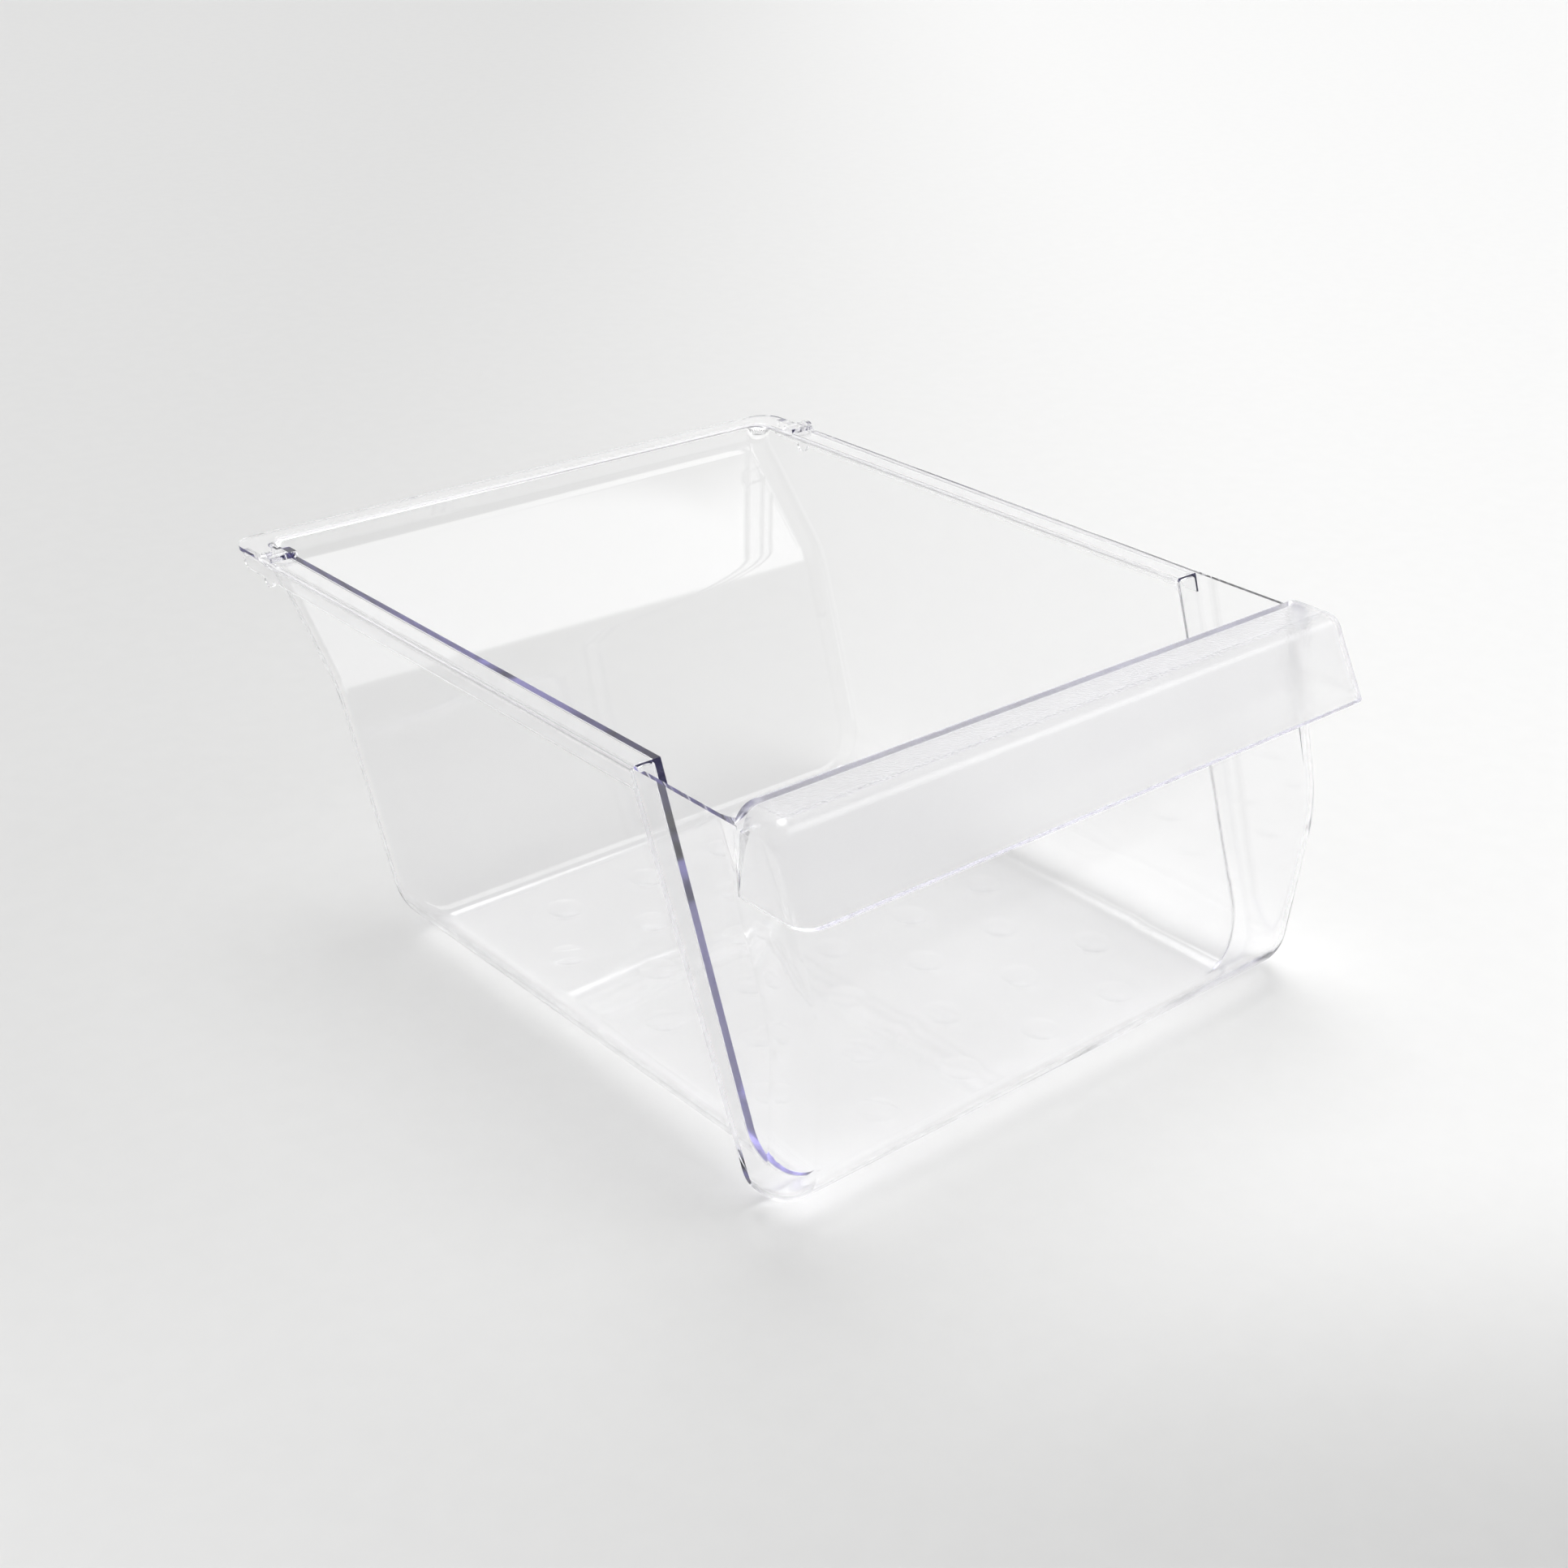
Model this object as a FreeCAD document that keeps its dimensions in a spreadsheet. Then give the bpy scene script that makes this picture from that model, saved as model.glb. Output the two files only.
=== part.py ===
import FreeCAD
import Part
import Sketcher
import os

# Clear one-piece crisper drawer for a refrigerator.
# Frame: X across the drawer, Y from the handle to the back, Z up, origin under the middle.

doc = FreeCAD.newDocument("crisper_drawer")
dims = doc.addObject("Spreadsheet::Sheet", "dims")

sizes = (
    ("wall", 2.5, "wall thickness of the moulding"),
    ("rim_width", 400.0, "width over the rail flanges"),
    ("rim_height", 206.5, "height of the rim above the underside"),
    ("rim_back", 246.5, "back edge of the rim behind the middle"),
    ("flange_width", 17.5, "rail flange from its outer edge to the bin"),
    ("front_draft", 12.5, "how far each front side leans in down to the floor"),
    ("rear_draft", 7.0, "how far each rear side leans in down to the floor"),
    ("step_front", 122.0, "step of the sides at the rim, ahead of the middle"),
    ("step_run", 78.5, "how far the step runs forward down to the floor"),
    ("front_top", 199.5, "outer face of the front wall at the handle top"),
    ("belly_run", 35.0, "how far the belly stands ahead of the front top"),
    ("belly_height", 108.5, "height of the belly of the front wall"),
    ("belly_tuck", 7.0, "how far the front wall tucks in below the belly"),
    ("belly_radius", 120.0, "rounding of the belly"),
    ("front_corner", 17.0, "outer radius of the front corners and side bottom edges"),
    ("front_ease", 11.0, "extra radius of the front bottom edge"),
    ("back_rim", 12.0, "width of the back rim"),
    ("band_drop", 15.0, "height of the upright band under the back rim"),
    ("band_draft", 0.5, "lean of that band"),
    ("slope_run", 61.0, "forward run of the sloped upper back wall"),
    ("bend_height", 131.5, "height of the bend in the back wall"),
    ("bend_radius", 40.0, "rounding of that bend"),
    ("low_run", 53.5, "forward run of the lower back wall"),
    ("back_corner", 12.5, "outer radius of the back corners"),
    ("back_ease", 22.5, "extra radius of the rear side bottom edges"),
    ("crease_ease", 2.5, "extra radius of the crease under the band"),
    ("handle_rise", 8.5, "handle top above the rim"),
    ("ledge_depth", 23.5, "handle top from the front wall to the apron"),
    ("apron_run", 23.5, "how far the apron flares forward"),
    ("apron_drop", 42.5, "height of the apron"),
    ("hood_edge", 11.0, "rounding of the apron edges"),
    ("hood_ease", 1.0, "extra radius of the handle ends"),
    ("plate_lead", 2.5, "foot of the handle end plate ahead of the front wall top"),
    ("web_lead", 1.5, "solid web behind the front wall top in each corner"),
    ("skirt_drop", 11.0, "height of the rail skirt under the rim"),
    ("skirt_corner", 5.0, "rounding of the back end of the skirt"),
    ("skirt_gap", 0.5, "skirt end ahead of the rounded flange corner"),
    ("flange_corner", 14.0, "radius of the flange corners at the back"),
    ("stop_back", 40.5, "middle of the stop bar ahead of the back rim"),
    ("stop_depth", 8.0, "depth of the stop bar"),
    ("stop_height", 3.4, "stop bar above the rim"),
    ("glide_radius", 4.5, "radius of the glide under the skirt"),
    ("knob_radius", 4.8, "radius of the knob at the outer end of the stop bar"),
    ("knob_width", 3.2, "width of that knob"),
    ("root_ease", 2.0, "rounding of the inner corners of the rail channels"),
    ("bump_width", 22.0, "diameter of a floor bump"),
    ("bump_height", 0.8, "height of a floor bump"),
    ("bump_across", 60.0, "spacing of the bumps across the floor"),
    ("bump_along", 44.0, "spacing of the bump rows"),
    ("bump_front", 182.0, "first bump row ahead of the middle"),
    ("bump_rows", 7, "number of bump rows"),
    ("bump_columns", 4, "bumps in the first row, one more in every second row"),
    ("step_lap", 1.25, "how far the rear section runs on into the front section"),
    ("open_room", 10.0, "height of the opening above the handle"),
    ("spare", 25.0, "room past the sides that the side cuts take away"),
)

for row, (name, size, note) in enumerate(sizes, start=1):
    dims.set("A%d" % row, note)
    dims.set("B%d" % row, str(size))
    dims.setAlias("B%d" % row, name)
doc.recompute()


def value(text):
    """Number that an expression on the sheet stands for."""
    return float(dims.evalExpression(text))


ACROSS = FreeCAD.Vector(1, 0, 0)
ALONG = FreeCAD.Vector(0, 1, 0)
UPWARD = FreeCAD.Vector(0, 0, 1)
NEAR = 0.05
SLACK = 0.01
FACING = 0.2

# Heights
RIM = "dims.rim_height"
TOP = "(dims.rim_height + dims.handle_rise)"
OPEN = "(dims.rim_height + dims.handle_rise + dims.open_room)"
APRON_LOW = "(dims.rim_height + dims.handle_rise - dims.apron_drop)"
UNDER = "(dims.rim_height - dims.wall)"
SKIRT_LOW = "(dims.rim_height - dims.skirt_drop)"
CREASE = "(dims.rim_height - dims.band_drop)"
STOP_TOP = "(dims.rim_height + dims.stop_height)"
BELOW_APRON = "(%s - dims.open_room)" % APRON_LOW

# Front wall at its belly and at its foot
BELLY = "(-dims.front_top - dims.belly_run)"
FRONT_LOW = "(-dims.front_top - dims.belly_run + dims.belly_tuck)"

# Lean of the slanted walls, sideways run for each unit of height
FRONT_LEAN = "(dims.front_draft / dims.rim_height)"
REAR_LEAN = "(dims.rear_draft / dims.rim_height)"
STEP_LEAN = "(dims.step_run / dims.rim_height)"
FACE_LEAN = "(dims.belly_run / (dims.rim_height + dims.handle_rise - dims.belly_height))"


def front_half(height):
    """Outer half width of the front section at a height."""
    return "(dims.rim_width / 2 - %s * (dims.rim_height - %s))" % (FRONT_LEAN, height)


def hood_half(height):
    """Outer half width of the handle, the same at every height."""
    return "(dims.rim_width / 2)"


def rear_half(height):
    """Outer half width of the rear section at a height."""
    edge = "dims.rim_width / 2 - dims.flange_width + dims.wall"
    return "(%s - %s * (dims.rim_height - %s))" % (edge, REAR_LEAN, height)


def step_at(height):
    """Place of the step along the drawer at a height."""
    return "(-dims.step_front - %s * (dims.rim_height - %s))" % (STEP_LEAN, height)


def face_at(height):
    """Outer face of the upper front wall at a height."""
    return "(-dims.front_top - %s * (%s - %s))" % (FACE_LEAN, TOP, height)


def band_at(height):
    """Outer face of the upright band under the back rim at a height."""
    lean = "dims.band_draft / dims.band_drop"
    top = "dims.rim_back - dims.back_rim + dims.wall"
    return "(%s - %s * (dims.rim_height - %s))" % (top, lean, height)


def apron_at(height):
    """Outer face of the apron at a height."""
    lean = "dims.apron_run / dims.apron_drop"
    return "(-dims.front_top - dims.ledge_depth - %s * (%s - %s))" % (lean, TOP, height)


FACE_INSIDE = "dims.wall * sqrt(1 + %s ^ 2)" % FACE_LEAN

# Places along the drawer
BEHIND_STEP = "(-dims.step_front / 2)"
BEND = "(%s - dims.slope_run)" % band_at(CREASE)
BACK_LOW = "(%s - dims.low_run)" % BEND
APRON_TOP = "(-dims.front_top - dims.ledge_depth)"
SKIRT_END = "(dims.rim_back - dims.flange_corner - dims.skirt_gap)"
HOOD_BACK = "(%s + dims.front_corner)" % face_at(RIM)
WEB_BACK = "(-dims.front_top - dims.web_lead)"
PLATE_FOOT = "(-dims.front_top - dims.plate_lead)"


def pin(sketch, line, end, across, up):
    """Hold one end of a sketch line at a place given by two expressions."""
    places = (("DistanceX", across, -2), ("DistanceY", up, -1))
    for kind, text, axis in places:
        if text == "0":
            sketch.addConstraint(Sketcher.Constraint("PointOnObject", line, end, axis))
            continue
        held = Sketcher.Constraint(kind, -1, 1, line, end, value(text))
        index = sketch.addConstraint(held)
        sketch.setExpression("Constraints[%d]" % index, text)


def chain(sketch, points, helper):
    """Closed chain of lines through the points; gives the number of its first line."""
    first = sketch.GeometryCount
    count = len(points)
    for i in range(count):
        line = Part.LineSegment(points[i], points[(i + 1) % count])
        sketch.addGeometry(line, helper)
    for i in range(count):
        joint = Sketcher.Constraint("Coincident", first + i, 2, first + (i + 1) % count, 1)
        sketch.addConstraint(joint)
    return first


def inset_points(points, gaps):
    """Corners of the outline whose sides stand inside the given ones by the gaps."""
    count = len(points)
    area = sum(points[i].cross(points[(i + 1) % count]).z for i in range(count))
    turn = 1.0 if area > 0 else -1.0
    lines = []
    for i in range(count):
        along = (points[(i + 1) % count] - points[i]).normalize()
        inward = FreeCAD.Vector(-along.y, along.x, 0) * turn
        lines.append((points[i] + inward * gaps[i], along))
    corners = []
    for i in range(count):
        start, along = lines[i - 1]
        other, beside = lines[i]
        reach = (other - start).cross(beside).z / along.cross(beside).z
        corners.append(start + along * reach)
    return corners


def outline(sketch, corners, gaps=None):
    """Closed outline bound to the sheet, or the outline set inside it by the gaps."""
    points = [FreeCAD.Vector(value(a), value(b), 0) for a, b in corners]
    inset = gaps is not None and any(gap != "0" for gap in gaps)
    first = chain(sketch, points, inset)
    for i, (across, up) in enumerate(corners):
        pin(sketch, first + i, 1, across, up)
    if not inset:
        return
    inner = chain(sketch, inset_points(points, [value(gap) for gap in gaps]), False)
    for i, gap in enumerate(gaps):
        sketch.addConstraint(Sketcher.Constraint("Parallel", first + i, inner + i))
        if gap == "0":
            sketch.addConstraint(Sketcher.Constraint("PointOnObject", inner + i, 1, first + i))
            continue
        held = Sketcher.Constraint("Distance", inner + i, 1, first + i, value(gap))
        index = sketch.addConstraint(held)
        sketch.setExpression("Constraints[%d]" % index, gap)


def disc(sketch, across, up, radius):
    """Circle bound to the sheet."""
    centre = FreeCAD.Vector(value(across), value(up), 0)
    circle = sketch.addGeometry(Part.Circle(centre, FreeCAD.Vector(0, 0, 1), value(radius)), False)
    pin(sketch, circle, 3, across, up)
    index = sketch.addConstraint(Sketcher.Constraint("Radius", circle, value(radius)))
    sketch.setExpression("Constraints[%d]" % index, radius)


def new_sketch(body, name, role):
    """Sketch on one of the body's own origin planes."""
    sketch = body.newObject("Sketcher::SketchObject", name)
    plane = [item for item in body.Origin.OriginFeatures if item.Role == role][0]
    sketch.AttachmentSupport = [(plane, "")]
    sketch.MapMode = "FlatFace"
    return sketch


def pad_across(body, sketch, name, width="dims.rim_width + 2 * dims.spare"):
    """Pad of a side outline over the whole width, or over a given one."""
    pad = body.newObject("PartDesign::Pad", name)
    pad.Profile = sketch
    pad.SideType = "Symmetric"
    pad.setExpression("Length", width)
    doc.recompute()
    return pad


def cut_through(body, sketch, name):
    """Pocket of a sketch through the whole body, both ways."""
    pocket = body.newObject("PartDesign::Pocket", name)
    pocket.Profile = sketch
    pocket.Type = "ThroughAll"
    pocket.SideType = "Symmetric"
    doc.recompute()
    return pocket


def cut_sides(body, name, half_at, lean, gap):
    """Cut both sides to their leaning planes, set in by the gap."""
    sketch = new_sketch(body, name + "_outline", "XZ_Plane")
    inside = "%s * sqrt(1 + %s ^ 2)" % (gap, lean)
    far = "(dims.rim_width / 2 + 2 * dims.spare)"
    low = "(-dims.open_room)"
    high = "(%s + dims.open_room)" % OPEN
    for sign in ("", "-"):
        near_low = "%s(%s - %s)" % (sign, half_at(low), inside)
        near_high = "%s(%s - %s)" % (sign, half_at(high), inside)
        edge = sign + far
        outline(sketch, ((near_low, low), (edge, low), (edge, high), (near_high, high)))
    return cut_through(body, sketch, name)


def round_edges(body, name, edges, radius):
    """Fillet of the chosen edges of the body's last feature."""
    base = body.Tip
    found = [i for i, edge in enumerate(base.Shape.Edges, start=1) if edges(edge)]
    if not found:
        raise ValueError("no edge for " + name)
    fillet = body.newObject("PartDesign::Fillet", name)
    fillet.Base = (base, ["Edge%d" % i for i in found])
    fillet.setExpression("Radius", radius)
    doc.recompute()
    return fillet


def along(edge, axis):
    """Whether an edge is a straight line in the direction of an axis."""
    if edge.Curve.TypeId != "Part::GeomLine":
        return False
    return edge.tangentAt(edge.FirstParameter).cross(axis).Length < SLACK


def nearest_crossing(body, up):
    """Chooser of the straight edges across the drawer that lie nearest to a height."""
    z = value(up)
    straight = [edge for edge in body.Tip.Shape.Edges if along(edge, ACROSS)]
    best = min(straight, key=lambda edge: abs(edge.CenterOfMass.z - z)).CenterOfMass

    def chosen(edge):
        off = edge.CenterOfMass - best
        return along(edge, ACROSS) and abs(off.y) < NEAR and abs(off.z) < NEAR

    return chosen


def end_crossing(body, up, end):
    """Chooser of the straight edges across the drawer at the front or back end of one height."""
    z = value(up)
    straight = [edge for edge in body.Tip.Shape.Edges if along(edge, ACROSS)]
    level = [edge.CenterOfMass for edge in straight if abs(edge.CenterOfMass.z - z) < NEAR]
    best = end(level, key=lambda middle: middle.y)

    def chosen(edge):
        off = edge.CenterOfMass - best
        return along(edge, ACROSS) and abs(off.y) < NEAR and abs(off.z) < NEAR

    return chosen


def level_sides(up):
    """Chooser of the edges that run along the drawer at one height."""
    z = value(up)

    def chosen(edge):
        spread = edge.BoundBox
        flat = abs(spread.ZMin - z) < NEAR and abs(spread.ZMax - z) < NEAR
        return flat and along(edge, ALONG)

    return chosen


def upright_at(place):
    """Chooser of the upright or leaning edges at one place along the drawer."""
    y = value(place)

    def chosen(edge):
        spread = edge.BoundBox
        flat = abs(spread.YMin - y) < NEAR and abs(spread.YMax - y) < NEAR
        return flat and spread.ZLength > spread.XLength

    return chosen


def border_of_faces(body, facing, stop):
    """Chooser of the outer edges of the faces that look one way, less those at a height."""
    z = value(stop)
    count = {}
    for face in body.Tip.Shape.Faces:
        u0, u1, v0, v1 = face.ParameterRange
        normal = face.normalAt((u0 + u1) / 2, (v0 + v1) / 2)
        if abs(normal.x) > NEAR or normal.y * facing < FACING:
            continue
        for edge in face.Edges:
            key = edge.hashCode()
            count[key] = count.get(key, 0) + 1

    def chosen(edge):
        at_stop = all(abs(vertex.Z - z) < NEAR for vertex in edge.Vertexes)
        return count.get(edge.hashCode(), 0) == 1 and not at_stop

    return chosen


def border_of_sides(body):
    """Chooser of the edges where the two sides meet the floor and the front wall."""
    sides = set()
    outer = set()
    for face in body.Tip.Shape.Faces:
        u0, u1, v0, v1 = face.ParameterRange
        normal = face.normalAt((u0 + u1) / 2, (v0 + v1) / 2)
        keys = {edge.hashCode() for edge in face.Edges}
        if abs(normal.x) > FACING:
            sides |= keys
        elif normal.y < -FACING or normal.z < -FACING:
            outer |= keys

    def chosen(edge):
        return edge.hashCode() in sides and edge.hashCode() in outer

    return chosen


def side_block(name, corners, gaps):
    """Body begun as a side outline padded over the whole width."""
    body = doc.addObject("PartDesign::Body", name)
    side = new_sketch(body, name + "_side", "YZ_Plane")
    outline(side, corners, gaps)
    pad_across(body, side, name + "_block")
    return body


# Bin


def front_form(name, top, gap):
    """Front section of the bin: its outside, or its hollow set in by the gap."""
    corners = (
        (BEHIND_STEP, "0"),
        (BEHIND_STEP, top),
        (face_at(top), top),
        (BELLY, "dims.belly_height"),
        (FRONT_LOW, "0"),
    )
    body = side_block(name, corners, ("0", "0", gap, gap, gap))
    cut_sides(body, name + "_sides", front_half, FRONT_LEAN, gap)
    belly = nearest_crossing(body, "dims.belly_height")
    round_edges(body, name + "_belly", belly, "dims.belly_radius - %s" % gap)
    foot = end_crossing(body, gap, min)
    foot_radius = "dims.front_corner + dims.front_ease - %s" % gap
    round_edges(body, name + "_foot", foot, foot_radius)
    corner = "dims.front_corner - %s" % gap
    round_edges(body, name + "_corners", border_of_sides(body), corner)
    step = new_sketch(body, name + "_step_side", "YZ_Plane")
    inside = "%s * sqrt(1 + %s ^ 2)" % (gap, STEP_LEAN)
    far = "(%s + dims.open_room)" % BEHIND_STEP
    low = "(-dims.open_room)"
    high = "(%s + dims.open_room)" % OPEN
    step_corners = (
        ("%s - %s" % (step_at(low), inside), low),
        ("%s - %s" % (step_at(high), inside), high),
        (far, high),
        (far, low),
    )
    outline(step, step_corners)
    cut_through(body, step, name + "_step")
    return body


def rear_form(name, top, gap, lap):
    """Rear section of the bin, which laps forward past the step."""
    corners = (
        ("%s - %s" % (step_at("0"), lap), "0"),
        ("%s - %s" % (step_at(top), lap), top),
        (band_at(top), top),
        (band_at(CREASE), CREASE),
        (BEND, "dims.bend_height"),
        (BACK_LOW, "0"),
    )
    body = side_block(name, corners, ("0", "0", gap, gap, gap, gap))
    cut_sides(body, name + "_sides", rear_half, REAR_LEAN, gap)
    bottom = "dims.back_corner + dims.back_ease - %s" % gap
    round_edges(body, name + "_bottom", level_sides(gap), bottom)
    bend = nearest_crossing(body, "dims.bend_height")
    round_edges(body, name + "_bend", bend, "dims.bend_radius + %s" % gap)
    crease = nearest_crossing(body, CREASE)
    crease_radius = "dims.back_corner + dims.crease_ease - %s" % gap
    round_edges(body, name + "_crease", crease, crease_radius)
    corner = "dims.back_corner - %s" % gap
    round_edges(body, name + "_corners", border_of_faces(body, 1, top), corner)
    return body


front_outside = front_form("front_outside", RIM, "0")
front_hollow = front_form("front_hollow", OPEN, "dims.wall")
rear_outside = rear_form("rear_outside", RIM, "0", "dims.step_lap")
past_step = "(dims.wall * sqrt(1 + %s ^ 2) + dims.step_lap)" % STEP_LEAN
rear_hollow = rear_form("rear_hollow", OPEN, "dims.wall", past_step)

# Handle hood


def hood_form(name, low, back_low, back_top, gap):
    """Hood over the front wall: its outside, or its hollow set in by the gap."""
    corners = (
        (back_low, low),
        (back_top, TOP),
        (APRON_TOP, TOP),
        (apron_at(low), low),
    )
    body = side_block(name, corners, ("0", gap, gap, "0"))
    cut_sides(body, name + "_sides", hood_half, "0", gap)
    end = "dims.hood_edge + dims.hood_ease - %s" % gap
    round_edges(body, name + "_ends", level_sides("%s - %s" % (TOP, gap)), end)
    edge = "dims.hood_edge - %s" % gap
    round_edges(body, name + "_edges", border_of_faces(body, -1, low), edge)
    return body


hood_back = "%s + %s" % (face_at(TOP), FACE_INSIDE)
hood_outside = hood_form("hood_outside", APRON_LOW, PLATE_FOOT, hood_back, "0")
hood_hollow = hood_form("hood_hollow", BELOW_APRON, face_at(BELOW_APRON), face_at(TOP), "dims.wall")

cheek_corners = (
    (HOOD_BACK, APRON_LOW),
    (HOOD_BACK, RIM),
    ("%s + %s" % (face_at(RIM), FACE_INSIDE), RIM),
    ("%s + %s" % (face_at(APRON_LOW), FACE_INSIDE), APRON_LOW),
)
cheek_outside = side_block("cheek_outside", cheek_corners, None)
cut_sides(cheek_outside, "cheek_sides", front_half, FRONT_LEAN, "0")

cheek_inner_corners = (
    (WEB_BACK, BELOW_APRON),
    (WEB_BACK, UNDER),
    (face_at(UNDER), UNDER),
    (face_at(BELOW_APRON), BELOW_APRON),
)
cheek_block = side_block("cheek_block", cheek_inner_corners, None)
cut_sides(cheek_block, "cheek_block_sides", hood_half, "0", "dims.wall")
cheek_hollow = doc.addObject("Part::Cut", "cheek_hollow")
cheek_hollow.Base = cheek_block
cheek_hollow.Tool = front_outside

# Rail flanges with their skirts, glides and stop bars

flange_corners = (
    ("%s - dims.wall" % step_at(RIM), RIM),
    ("dims.rim_back", RIM),
    ("dims.rim_back", UNDER),
    (SKIRT_END, UNDER),
    (SKIRT_END, SKIRT_LOW),
    ("%s - dims.wall" % step_at(SKIRT_LOW), SKIRT_LOW),
)
rails = side_block("rails", flange_corners, None)

stop_corners = (
    ("dims.rim_back - dims.stop_back - dims.stop_depth / 2", UNDER),
    ("dims.rim_back - dims.stop_back + dims.stop_depth / 2", UNDER),
    ("dims.rim_back - dims.stop_back + dims.stop_depth / 2", STOP_TOP),
    ("dims.rim_back - dims.stop_back - dims.stop_depth / 2", STOP_TOP),
)
stop_side = new_sketch(rails, "stop_side", "YZ_Plane")
outline(stop_side, stop_corners)
pad_across(rails, stop_side, "stop_bar", "dims.rim_width")

glide_side = new_sketch(rails, "glide_side", "YZ_Plane")
disc(glide_side, "dims.rim_back - dims.stop_back", SKIRT_LOW, "dims.glide_radius")
pad_across(rails, glide_side, "glide")

knob_side = new_sketch(rails, "knob_side", "YZ_Plane")
disc(knob_side, "dims.rim_back - dims.stop_back", RIM, "dims.knob_radius")
pad_across(rails, knob_side, "knob")

cut_sides(rails, "rail_sides", front_half, FRONT_LEAN, "0")
channel = new_sketch(rails, "channel_section", "XZ_Plane")
side_wall = "dims.wall * sqrt(1 + %s ^ 2)" % FRONT_LEAN
channel_low = "(%s - dims.open_room)" % SKIRT_LOW
channel_corners = (
    ("%s - %s" % (front_half(UNDER), side_wall), UNDER),
    ("-(%s - %s)" % (front_half(UNDER), side_wall), UNDER),
    ("-(%s - %s)" % (front_half(channel_low), side_wall), channel_low),
    ("%s - %s" % (front_half(channel_low), side_wall), channel_low),
)
knob_inside = "(%s - dims.knob_width)" % front_half(STOP_TOP)
over_bar_corners = (
    (knob_inside, STOP_TOP),
    ("-" + knob_inside, STOP_TOP),
    ("-" + knob_inside, OPEN),
    (knob_inside, OPEN),
)
outline(channel, channel_corners)
outline(channel, over_bar_corners)
cut_through(rails, channel, "channel")
round_edges(rails, "flange_corners", upright_at("dims.rim_back"), "dims.flange_corner")
round_edges(rails, "skirt_corners", end_crossing(rails, SKIRT_LOW, max), "dims.skirt_corner")

# Floor bumps, each the top of a wedge of a large ball

ball_radius = "(dims.bump_width ^ 2 / (8 * dims.bump_height) + dims.bump_height / 2)"
wedge = "(3 * atan(2 * dims.bump_height / dims.bump_width))"
facing_up = FreeCAD.Rotation(ALONG, -90) * FreeCAD.Rotation(UPWARD, -value(wedge))
bumps = []
for row in range(round(dims.bump_rows)):
    columns = round(dims.bump_columns) + row % 2
    for column in range(columns):
        shift = column - (columns - 1) / 2
        bump = doc.addObject("Part::Sphere", "bump_%d_%d" % (row, column))
        bump.Placement.Rotation = facing_up
        bump.setExpression("Radius", ball_radius)
        bump.setExpression("Angle1", "-" + wedge)
        bump.setExpression("Angle2", wedge)
        bump.setExpression("Angle3", "2 * " + wedge)
        bump.setExpression("Placement.Base.x", "%s * dims.bump_across" % shift)
        bump.setExpression("Placement.Base.y", "%d * dims.bump_along - dims.bump_front" % row)
        bump.setExpression("Placement.Base.z", "dims.wall + dims.bump_height - %s" % ball_radius)
        bumps.append(bump)
bump_set = doc.addObject("Part::Compound", "bump_set")
bump_set.Links = bumps

# Outer form with the inner corners of its rail channels rounded

outside = doc.addObject("Part::MultiFuse", "outside")
outside.Shapes = [front_outside, rear_outside, hood_outside, cheek_outside, rails]
doc.recompute()

under = value(UNDER)
reach = value("%s - %s" % (front_half(UNDER), side_wall))
back = value(band_at(UNDER))


def is_root(edge):
    """Whether an edge is an inner corner of the rail channels."""
    ends = [vertex.Point for vertex in edge.Vertexes]
    level = all(abs(end.z - under) < NEAR for end in ends)
    within = all(abs(end.x) < reach + NEAR and end.y < back + NEAR for end in ends)
    at_side = all(abs(abs(end.x) - value(rear_half(repr(end.z)))) < NEAR for end in ends)
    at_step = all(abs(end.y - value(step_at(repr(end.z)))) < NEAR for end in ends)
    return (level and within) or (at_side and at_step)


root_ease = value("dims.root_ease")
rounded = doc.addObject("Part::Fillet", "rounded")
rounded.Base = outside
rounded.Edges = [
    (number, root_ease, root_ease)
    for number, edge in enumerate(outside.Shape.Edges, start=1)
    if is_root(edge)
]

# Drawer

hollow = doc.addObject("Part::MultiFuse", "hollow")
hollow.Shapes = [front_hollow, rear_hollow, hood_hollow, cheek_hollow]
room = doc.addObject("Part::Cut", "room")
room.Base = hollow
room.Tool = bump_set
drawer = doc.addObject("Part::Cut", "drawer")
drawer.Label = "crisper_drawer"
drawer.Base = rounded
drawer.Tool = room
doc.recompute()

for item in doc.Objects:
    if "Invalid" in item.State or "Error" in item.State:
        raise ValueError("%s is not built: %s" % (item.Name, item.State))
    if hasattr(item, "Shape") and item.TypeId != "Sketcher::SketchObject":
        if "Origin" in item.TypeId or item.TypeId in ("App::Plane", "App::Line", "App::Point"):
            continue
        if item.Shape.isNull() or not item.Shape.isValid():
            raise ValueError("%s has no valid shape" % item.Name)

os.makedirs("parts", exist_ok=True)
drawer.Shape.exportStep("parts/crisper_drawer.step")
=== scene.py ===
import math

import bpy
import numpy as np
from mathutils import Matrix, Vector


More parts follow.
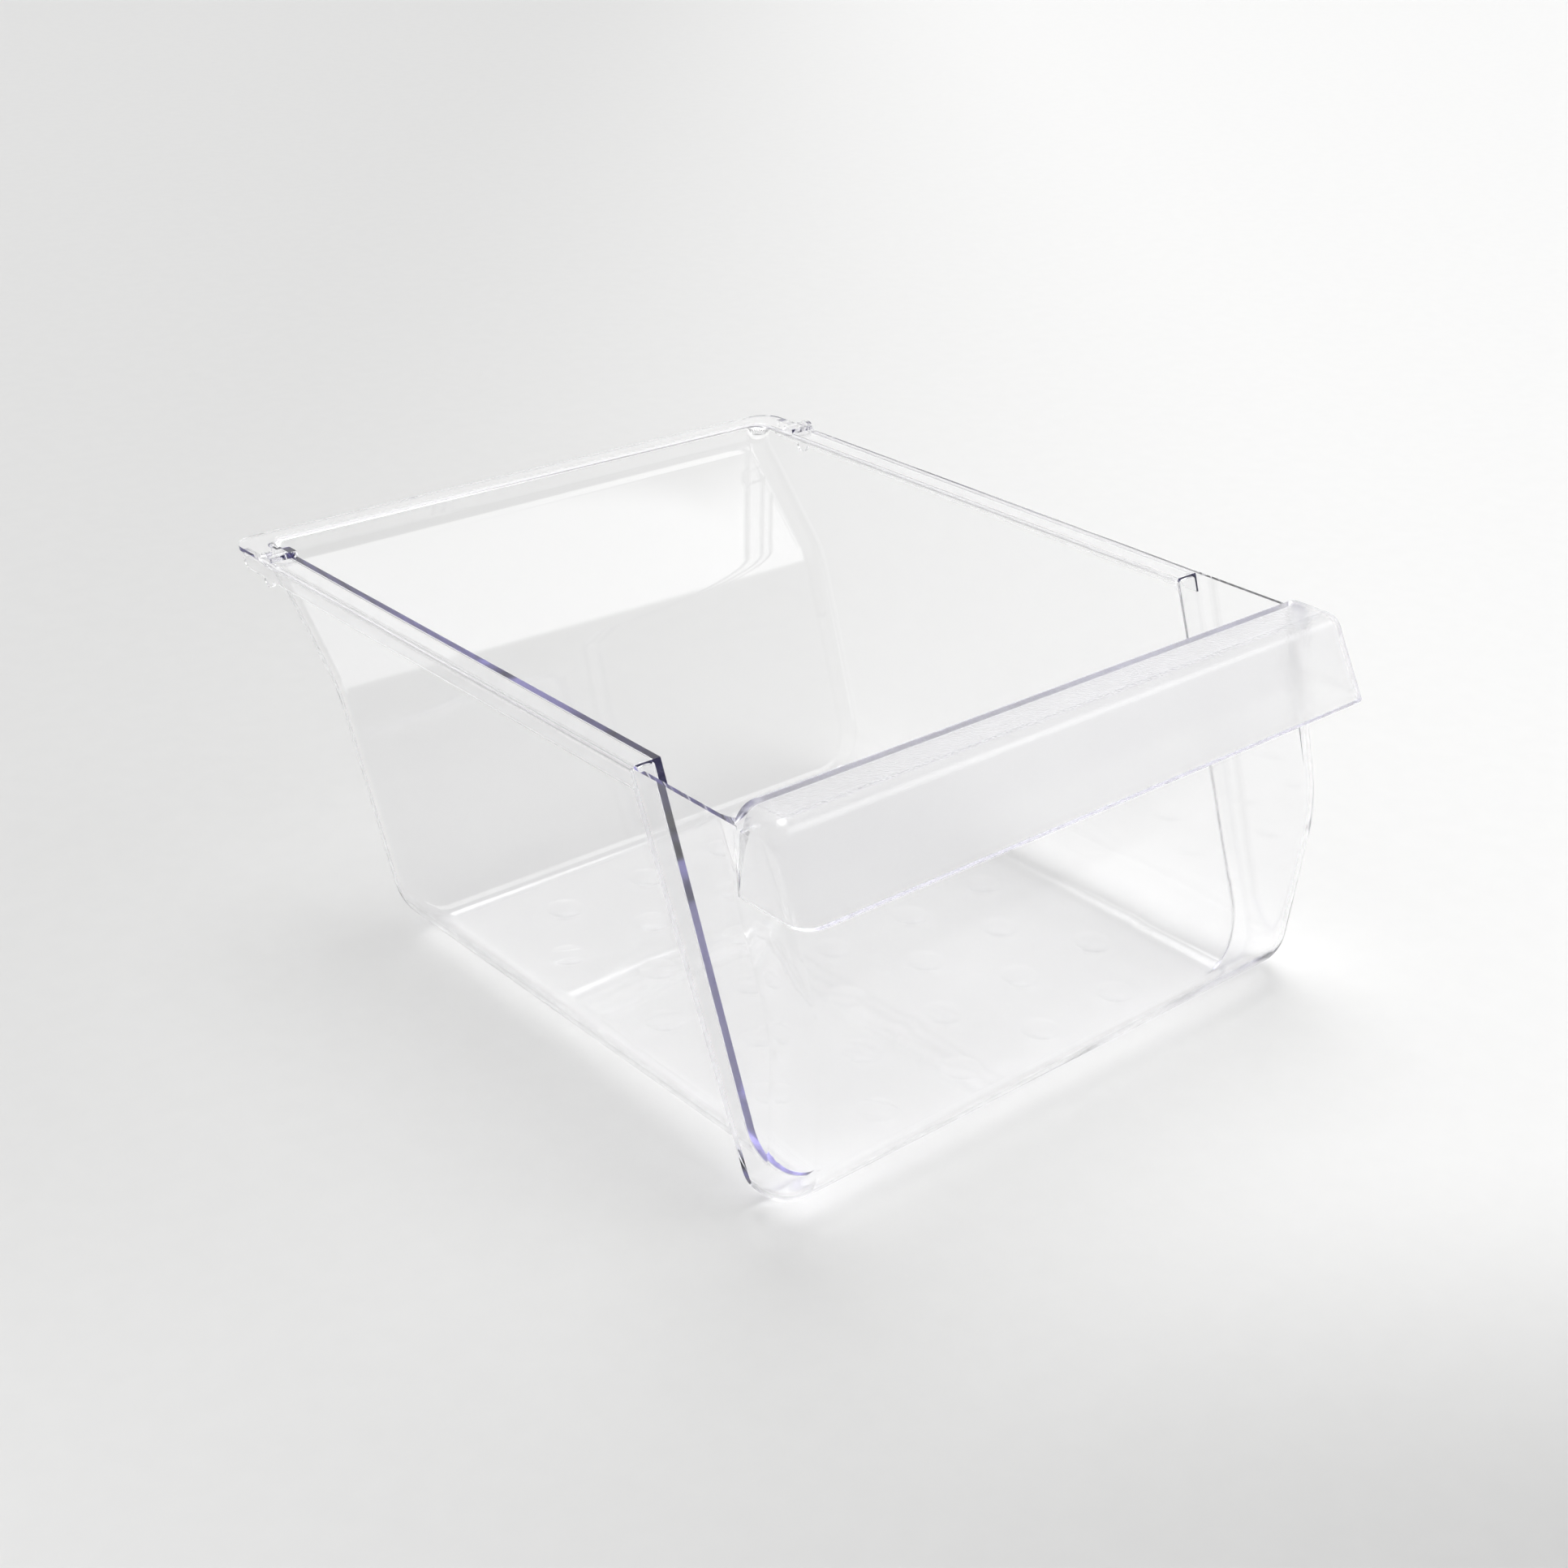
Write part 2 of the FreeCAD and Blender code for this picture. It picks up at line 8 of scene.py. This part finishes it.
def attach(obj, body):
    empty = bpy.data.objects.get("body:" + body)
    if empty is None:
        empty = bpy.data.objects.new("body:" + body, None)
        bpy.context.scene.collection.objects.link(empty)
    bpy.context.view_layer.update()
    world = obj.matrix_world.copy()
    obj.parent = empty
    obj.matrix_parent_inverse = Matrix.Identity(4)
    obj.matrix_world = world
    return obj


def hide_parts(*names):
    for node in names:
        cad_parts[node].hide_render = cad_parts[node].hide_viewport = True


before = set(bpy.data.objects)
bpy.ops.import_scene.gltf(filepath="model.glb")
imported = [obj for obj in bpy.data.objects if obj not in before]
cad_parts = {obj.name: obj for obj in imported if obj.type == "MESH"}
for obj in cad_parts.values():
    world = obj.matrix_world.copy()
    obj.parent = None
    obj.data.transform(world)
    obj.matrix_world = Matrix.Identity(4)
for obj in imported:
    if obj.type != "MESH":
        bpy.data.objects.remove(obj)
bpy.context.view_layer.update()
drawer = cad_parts["crisper_drawer"]
scene = bpy.context.scene


# Shader nodes


def node(tree, kind, inputs=None, **settings):
    """New node with its settings and with its inputs, named or numbered, set or linked."""
    made = tree.nodes.new(kind)
    for name, value in settings.items():
        setattr(made, name, value)
    for name, value in (inputs or {}).items():
        if isinstance(value, bpy.types.NodeSocket):
            tree.links.new(value, made.inputs[name])
        else:
            made.inputs[name].default_value = value
    return made


def ramp(tree, value, low, high, start=0.0, end=1.0):
    """Smooth step of a value from start, at low, to end, at high."""
    sockets = {"Value": value, "From Min": low, "From Max": high, "To Min": start, "To Max": end}
    return node(tree, "ShaderNodeMapRange", sockets, interpolation_type="SMOOTHSTEP").outputs["Result"]


def work_out(tree, operation, *values):
    """Result of a sum, product or other operation on values."""
    return node(tree, "ShaderNodeMath", dict(enumerate(values)), operation=operation).outputs["Value"]


def along(tree, place, direction):
    """How far a place lies along a direction."""
    made = node(tree, "ShaderNodeVectorMath", {0: place, 1: direction}, operation="DOT_PRODUCT")
    return made.outputs["Value"]


def noise(tree, place, scale, detail):
    """Smooth noise with a number of cells to the metre."""
    made = node(tree, "ShaderNodeTexNoise", {"Vector": place, "Scale": scale, "Detail": detail})
    return made.outputs["Fac"]


# Clear plastic: where the frosted front wall and pull begin and are full, in metres

FRONT_BEGINS = -0.196
FRONT_FULL = -0.202
PULL_BEGINS = 0.170
PULL_FULL = 0.173

# Share of a normal along an axis from which a face starts to look that way, and fully does
FACING_BEGINS = 0.30
FACING_FULL = 0.60

# Roughness of the polished and of the smeared walls, and what the frosting adds to it
POLISHED = 0.015
SMEARED = 0.035
FRONT_FROST = 0.02
PULL_FROST = 0.19

# Smears: cells to the metre, layers of finer noise, and noise at which they begin and are full
SMEAR_CELLS = 22.0
SMEAR_DETAIL = 1.0
SMEAR_BEGINS = 0.35
SMEAR_FULL = 0.75

# Bumps: layers of finer noise, cells to the metre, height in metres and strength
PLAIN = 0.0
SWELL_CELLS = 14.0
SWELL_HEIGHT = 0.004
SWELL_STRENGTH = 0.06
GRIT_CELLS = 900.0
GRIT_HEIGHT = 0.0004
GRIT_STRENGTH = 0.12

POLYSTYRENE_IOR = 1.57
VIOLET = (0.30, 0.26, 0.62, 1.0)
TINT_DENSITY = 3.2


def clear_plastic():
    """Clear moulded polystyrene with a faint violet tint, frosted on the front wall and the pull."""
    material = bpy.data.materials.new("clear_plastic")
    material.use_nodes = True
    tree = material.node_tree
    tree.nodes.clear()
    place = node(tree, "ShaderNodeTexCoord").outputs["Object"]
    spot = node(tree, "ShaderNodeSeparateXYZ", {0: place}).outputs
    normal = node(tree, "ShaderNodeNewGeometry").outputs["Normal"]
    facing = node(tree, "ShaderNodeSeparateXYZ", {0: normal}).outputs

    ahead = ramp(tree, spot["Y"], FRONT_BEGINS, FRONT_FULL)
    high = ramp(tree, spot["Z"], PULL_BEGINS, PULL_FULL)
    looks_ahead = ramp(tree, facing["Y"], -FACING_BEGINS, -FACING_FULL)
    looks_up = ramp(tree, facing["Z"], FACING_BEGINS, FACING_FULL)
    front = work_out(tree, "MULTIPLY", ahead, looks_ahead)
    outward = work_out(tree, "MAXIMUM", looks_ahead, looks_up)
    pull = work_out(tree, "MULTIPLY", work_out(tree, "MULTIPLY", ahead, high), outward)

    blots = noise(tree, place, SMEAR_CELLS, SMEAR_DETAIL)
    smear = ramp(tree, blots, SMEAR_BEGINS, SMEAR_FULL, POLISHED, SMEARED)
    rough = work_out(tree, "MULTIPLY_ADD", front, FRONT_FROST, smear)
    rough = work_out(tree, "MULTIPLY_ADD", pull, PULL_FROST, rough)

    swell = node(tree, "ShaderNodeBump", {
        "Strength": SWELL_STRENGTH,
        "Distance": SWELL_HEIGHT,
        "Height": noise(tree, place, SWELL_CELLS, PLAIN),
    })
    grit = node(tree, "ShaderNodeBump", {
        "Strength": work_out(tree, "MULTIPLY", pull, GRIT_STRENGTH),
        "Distance": GRIT_HEIGHT,
        "Height": noise(tree, place, GRIT_CELLS, PLAIN),
        "Normal": swell.outputs["Normal"],
    })
    shader = node(tree, "ShaderNodeBsdfPrincipled", {
        "Base Color": (1.0, 1.0, 1.0, 1.0),
        "Transmission Weight": 1.0,
        "IOR": POLYSTYRENE_IOR,
        "Roughness": rough,
        "Normal": grit.outputs["Normal"],
    })
    tint = node(tree, "ShaderNodeVolumeAbsorption", {"Color": VIOLET, "Density": TINT_DENSITY})
    node(tree, "ShaderNodeOutputMaterial", {
        "Surface": shader.outputs["BSDF"],
        "Volume": tint.outputs["Volume"],
    })
    return material


# Moulding: each flat facet of the drawer's roundings becomes a curved patch of small ones

# Lengths in metres: between points that are one, and of an edge within a rounding, at most
SAME_PLACE = 1e-6
SHORT = 0.01

# Angles between facets: in one flat wall, at most; across a sharp edge and a floor bump's edge, at least
ONE_PLANE = math.radians(0.05)
SHARP = math.radians(25)
BUMP_EDGE = math.radians(4.5)

# Corners of the box, in metres, in which the inside of the floor has its bumps
FLOOR_INSIDE = ((-0.15, -0.20, 0.0020), (0.15, 0.115, 0.0035))

# Sine of the angle between two normals from which they make a crease, and the least to divide by
CREASED = 0.05
LEAST_SINE = 1e-6

# A wall so many times larger than its neighbours sets the normal that they share
MUCH_LARGER = 5.0

# Times that the normals in a rounding are evened, and cosine of the widest corner that counts
ROUNDS = 80
WIDEST = -0.9999

# Points of a patch as shares of the three corners: corners, thirds of the sides, middle
PATCH_POINTS = np.array((
    (3, 0, 0), (0, 3, 0), (0, 0, 3),
    (2, 1, 0), (1, 2, 0), (0, 2, 1), (0, 1, 2), (1, 0, 2), (2, 0, 1),
    (1, 1, 1),
)) / 3
PATCH_FACES = np.array((
    (0, 3, 8), (3, 4, 9), (3, 9, 8), (8, 9, 7), (4, 1, 5), (4, 5, 9), (9, 5, 6), (9, 6, 7), (7, 6, 2),
))


def unit(vectors):
    """Vectors of length one."""
    return vectors / np.linalg.norm(vectors, axis=-1, keepdims=True)


def dot(first, second):
    """Dot products, one to a row."""
    return (first * second).sum(axis=-1, keepdims=True)


def grouped(count, pairs):
    """Number of the group that each item is in, once the items of each pair are in one group."""
    first = list(range(count))

    def leader(item):
        while first[item] != item:
            first[item] = first[first[item]]
            item = first[item]
        return item

    for item, other in pairs:
        first[leader(item)] = leader(other)
    leaders = [leader(item) for item in range(count)]
    return np.unique(leaders, return_inverse=True)[1].ravel()


def merged(mesh):
    """Places and triangles of a mesh whose doubled points are one."""
    places = np.empty(3 * len(mesh.vertices))
    mesh.vertices.foreach_get("co", places)
    corners = np.empty(len(mesh.loops), dtype=int)
    mesh.loops.foreach_get("vertex_index", corners)
    places = places.reshape(-1, 3)
    cells = np.round(places / SAME_PLACE).astype(int)
    _, first, same = np.unique(cells, axis=0, return_index=True, return_inverse=True)
    triangles = same.ravel()[corners].reshape(-1, 3)
    whole = (triangles != np.roll(triangles, 1, axis=1)).all(axis=1)
    return places[first], triangles[whole]


def edge_table(triangles):
    """Edge on each side of each triangle, the two points of each edge, and the corners beside them."""
    starts = triangles.ravel()
    ends = np.roll(triangles, -1, axis=1).ravel()
    pairs = np.sort(np.stack((starts, ends), axis=1), axis=1)
    edges, numbers = np.unique(pairs, axis=0, return_inverse=True)
    numbers = numbers.ravel()
    sides = np.argsort(numbers, kind="stable").reshape(-1, 2)
    after = 3 * (sides // 3) + (sides + 1) % 3
    beside = [np.where(starts[sides] == edges[:, [end]], sides, after) for end in (0, 1)]
    return numbers.reshape(-1, 3), edges, beside


def evened(normals, free, fan, points):
    """Normals of the fans with each free one made the mean of those around it, by mean value weights."""
    here = fan.ravel()
    ways = [np.roll(points, shift, axis=1) - points for shift in (-1, 1)]
    gaps = [np.linalg.norm(way, axis=2) for way in ways]
    cosines = np.clip(dot(*ways)[:, :, 0] / (gaps[0] * gaps[1]), WIDEST, 1)
    half_tangents = np.sqrt((1 - cosines) / (1 + cosines))
    neighbours = [np.roll(fan, shift, axis=1).ravel() for shift in (-1, 1)]
    weights = [(half_tangents / gap).ravel() for gap in gaps]
    for _ in range(ROUNDS):
        total = np.zeros_like(normals)
        for there, weight in zip(neighbours, weights):
            for axis in range(3):
                total[:, axis] += np.bincount(here, weight * normals[there, axis], len(normals))
        normals = np.where(free[:, None], unit(total), normals)
    return normals


def corner_normals(places, triangles, edges, beside):
    """Normal at each corner of each triangle: that of the wall there, or the mean across a rounding."""
    a, b, c = (places[triangles[:, k]] for k in range(3))
    spans = np.cross(b - a, c - a)
    flat = unit(spans)
    areas = np.linalg.norm(spans, axis=1)

    # Walls are groups of triangles in one plane
    facets = beside[0] // 3
    turns = np.arccos(np.clip(dot(flat[facets[:, 0]], flat[facets[:, 1]])[:, 0], -1, 1))
    wall = grouped(len(triangles), facets[turns < ONE_PLANE])
    wall_area = np.bincount(wall, weights=areas)

    # Fans are groups of corners round a point with no sharp edge between them
    ends = places[edges]
    middles = ends.mean(axis=1)
    on_floor = ((middles > FLOOR_INSIDE[0]) & (middles < FLOOR_INSIDE[1])).all(axis=1)
    smooth = turns < np.where(on_floor, BUMP_EDGE, SHARP)
    fan = grouped(triangles.size, np.concatenate([corners[smooth] for corners in beside]))
    order = np.argsort(fan, kind="stable")
    fans = np.split(order, np.flatnonzero(np.diff(fan[order])) + 1)
    point = np.array([triangles.flat[corners[0]] for corners in fans])

    # A normal may be evened where its fan goes all the way round and every edge is short
    reach = np.zeros(len(places))
    np.maximum.at(reach, edges, np.linalg.norm(ends[:, 0] - ends[:, 1], axis=1)[:, None])
    free = (np.bincount(point, minlength=len(places))[point] == 1) & (reach[point] < SHORT)

    normals = np.empty((len(fans), 3))
    for number, corners in enumerate(fans):
        faces = corners // 3
        largest, *others = sorted(set(wall[faces]), key=lambda w: -wall_area[w])
        if others and wall_area[largest] < MUCH_LARGER * wall_area[others[0]]:
            normals[number] = unit((flat[faces] * areas[faces, None]).sum(axis=0))
        else:
            normals[number] = flat[faces[wall[faces] == largest][0]]
            free[number] = False
    return evened(normals, free, fan.reshape(-1, 3), places[triangles])[fan]


def edge_handles(places, edges, beside, normals):
    """Two inner control points of the curve that each edge becomes."""
    handles = []
    span = (places[edges[:, 1]] - places[edges[:, 0]]) / 3
    for end, sign in ((0, 1), (1, -1)):
        left, right = (normals[corner] for corner in beside[end].T)
        crease = np.cross(left, right)
        sine = np.linalg.norm(crease, axis=1, keepdims=True)
        ridge = crease / np.maximum(sine, LEAST_SINE)
        along_ridge = ridge * dot(span, ridge)
        along_face = span - left * dot(span, left)
        run = np.where(sine > CREASED, along_ridge, along_face)
        handles.append(places[edges[:, end]] + sign * run)
    return handles


def rounded(mesh):
    """Mesh with each triangle of the given one made a curved patch that keeps the sharp edges."""
    places, triangles = merged(mesh)
    numbers, edges, beside = edge_table(triangles)
    normals = corner_normals(places, triangles, edges, beside)

    # Points at one third and two thirds of each edge's cubic curve, and the middle of each patch
    near, far = edge_handles(places, edges, beside, normals)
    start, end = (places[edges[:, k]] for k in (0, 1))
    first_third = (8 * start + 12 * near + 6 * far + end) / 27
    last_third = (start + 6 * near + 12 * far + 8 * end) / 27
    middles = (near + far)[numbers].mean(axis=1) / 2

    first = len(places) + numbers
    last = first + len(edges)
    forward = triangles == edges[numbers, 0]
    thirds = np.stack((np.where(forward, first, last), np.where(forward, last, first)), axis=2)
    middle = len(places) + 2 * len(edges) + np.arange(len(triangles))
    points = np.concatenate((triangles, thirds.reshape(-1, 6), middle[:, None]), axis=1)
    faces = points[:, PATCH_FACES].reshape(-1, 3)
    patch_normals = unit(PATCH_POINTS @ normals.reshape(-1, 3, 3))

    made = bpy.data.meshes.new("moulding")
    vertices = np.concatenate((places, first_third, last_third, middles))
    made.from_pydata(vertices.tolist(), [], faces.tolist(), shade_flat=False)
    made.normals_split_custom_set(patch_normals[:, PATCH_FACES].reshape(-1, 3).tolist())
    return made


plastic = clear_plastic()
for holder in drawer.material_slots:
    holder.material = plastic
moulding = bpy.data.objects.new("moulding", rounded(drawer.data))
moulding.data.materials.append(plastic)
scene.collection.objects.link(moulding)
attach(moulding, "root")
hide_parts("crisper_drawer")


# Floor, with lengths in metres, and the camera's directions along it

RIGHTWARD = (0.7555, -0.6552, 0.0)
AWAY = (0.6631, 0.7485, 0.0)
FLOOR_GAP = 0.0005
FLOOR_HALF = 9.0

# Where the painted shade and painted light change, to both sides and towards the camera
SIDE_REACH = 0.55
CLOSE_BEGINS = -0.20
CLOSE_FULL = -0.52

# Tones of the paint, from 0 for black to 1 for white, with painted shade near the camera and painted light
# and shade from side to side, and how it shines
FAR_TONE = 0.82
CLOSE_PAINTED_SHADE_TONE = 0.69
PAINTED_SIDE_LIGHT_CHANGE = 0.10
FLOOR_GRAIN = 0.006
FLOOR_ROUGHNESS = 0.9
FLOOR_SHINE = 0.1

# Grain: cells to the metre, layers of finer noise, and noise that is darkest and palest
GRAIN_CELLS = 60.0
GRAIN_DETAIL = 4.0
GRAIN_DARKEST = 0.2
GRAIN_PALEST = 0.8


def floor_paint_with_painted_shade():
    """Matt pale paint with painted shade and painted light: darker near the camera, at the left behind the
    drawer and at the right before it.
    """
    material = bpy.data.materials.new("floor")
    material.use_nodes = True
    tree = material.node_tree
    place = node(tree, "ShaderNodeTexCoord").outputs["Object"]
    depth = along(tree, place, AWAY)
    # Painted shade and painted light: the tone falls towards the camera and shifts from side to side,
    # standing in for how the light falls across the floor
    side = ramp(tree, along(tree, place, RIGHTWARD), -SIDE_REACH, SIDE_REACH, -1.0, 1.0)
    swap = ramp(tree, depth, CLOSE_BEGINS, CLOSE_FULL, 1.0, -1.0)
    painted_depth_shade = ramp(tree, depth, CLOSE_BEGINS, CLOSE_FULL, FAR_TONE, CLOSE_PAINTED_SHADE_TONE)
    painted_side_shading = work_out(tree, "MULTIPLY", side, swap)
    tone = work_out(tree, "MULTIPLY_ADD", painted_side_shading, PAINTED_SIDE_LIGHT_CHANGE, painted_depth_shade)
    specks = noise(tree, place, GRAIN_CELLS, GRAIN_DETAIL)
    grain = ramp(tree, specks, GRAIN_DARKEST, GRAIN_PALEST, -FLOOR_GRAIN, FLOOR_GRAIN)
    tone = work_out(tree, "ADD", tone, grain)
    grey = node(tree, "ShaderNodeCombineColor", {"Red": tone, "Green": tone, "Blue": tone})
    shader = tree.nodes["Principled BSDF"]
    tree.links.new(grey.outputs["Color"], shader.inputs["Base Color"])
    shader.inputs["Roughness"].default_value = FLOOR_ROUGHNESS
    shader.inputs["Specular IOR Level"].default_value = FLOOR_SHINE
    return material


def floor_sheet():
    """Wide flat floor."""
    mesh = bpy.data.meshes.new("floor")
    corners = [(x * FLOOR_HALF, y * FLOOR_HALF, 0) for x, y in ((-1, -1), (1, -1), (1, 1), (-1, 1))]
    mesh.from_pydata(corners, [], [(0, 1, 2, 3)])
    mesh.materials.append(floor_paint_with_painted_shade())
    made = bpy.data.objects.new("floor", mesh)
    made.location.z = -FLOOR_GAP
    scene.collection.objects.link(made)
    return made


floor_sheet()


# Light: strengths of the room's walls, ceiling, lamp and panel

NEAR_WALL = 0.33
FAR_WALL = 1.0
CEILING = 0.58
LAMP = 5.4
PANEL = 1.5
LIGHT_COLOUR = (0.99, 0.99, 0.985, 1.0)

# Share of a direction along the view at which the walls are dim and bright, and upwards for the ceiling
DIM_AT = -0.5
BRIGHT_AT = 0.6
CEILING_BEGINS = 0.35
CEILING_FULL = 0.70

# Direction of the lamp, and how far from it the light is full and ends
OVERHEAD = Vector((0.27, 0.31, 0.91)).normalized()
LAMP_CORE = math.cos(math.radians(10))
LAMP_EDGE = math.cos(math.radians(20))

# Sides of the panel: axis, and share of a direction along it at which the light ends and is full
PANEL_SIDES = (("X", 0.1, 0.3), ("Y", -0.295, -0.325), ("Y", -0.70, -0.62), ("Z", 0.40, 0.48))


def room():
    """Pale room, dim behind the camera, with a ceiling, a lamp overhead and a panel at the front right."""
    world = bpy.data.worlds.new("room")
    world.use_nodes = True
    tree = world.node_tree

    # Rays find the lamp by themselves: through so much plastic, aiming at it takes twice the time
    world.cycles.sampling_method = "NONE"

    direction = node(tree, "ShaderNodeTexCoord").outputs["Generated"]
    part = node(tree, "ShaderNodeSeparateXYZ", {0: direction}).outputs

    walls = ramp(tree, along(tree, direction, AWAY), DIM_AT, BRIGHT_AT, NEAR_WALL, FAR_WALL)
    above = ramp(tree, part["Z"], CEILING_BEGINS, CEILING_FULL)
    rise = work_out(tree, "SUBTRACT", CEILING, walls)
    strength = work_out(tree, "MULTIPLY_ADD", rise, above, walls)

    lamp = ramp(tree, along(tree, direction, OVERHEAD), LAMP_EDGE, LAMP_CORE, 0.0, LAMP)
    strength = work_out(tree, "ADD", strength, lamp)

    panel = PANEL
    for axis, outside, inside in PANEL_SIDES:
        panel = work_out(tree, "MULTIPLY", panel, ramp(tree, part[axis], outside, inside))
    strength = work_out(tree, "ADD", strength, panel)

    back = tree.nodes["Background"]
    back.inputs["Color"].default_value = LIGHT_COLOUR
    tree.links.new(strength, back.inputs["Strength"])
    return world


scene.world = room()


# Camera, fitted to the outlines in the photo, with its place in metres and its lens in millimetres

RIGHT = Vector((0.7552554, -0.6550942, 0.0209953))
DOWN = Vector((-0.2779783, -0.3491604, -0.8948827))
FORWARD = Vector((0.5935632, 0.6700288, -0.4458073))
PLACE = Vector((-0.764704, -0.868000, 0.663306))
LENS = 52.265
SENSOR = 36.0
FARTHEST = 30.0

# Light runs a long way inside the plastic before it leaves at an edge
BOUNCES = 128

camera_data = bpy.data.cameras.new("camera")
camera_data.sensor_width = SENSOR
camera_data.lens = LENS
camera_data.clip_end = FARTHEST
camera = bpy.data.objects.new("camera", camera_data)
turn = Matrix((RIGHT, -DOWN, -FORWARD)).transposed()
camera.matrix_world = Matrix.Translation(PLACE) @ turn.to_4x4()
scene.collection.objects.link(camera)
scene.camera = camera

scene.view_settings.view_transform = "Standard"
scene.cycles.blur_glossy = 0.0
scene.cycles.max_bounces = BOUNCES
scene.cycles.transmission_bounces = BOUNCES
scene.cycles.glossy_bounces = BOUNCES
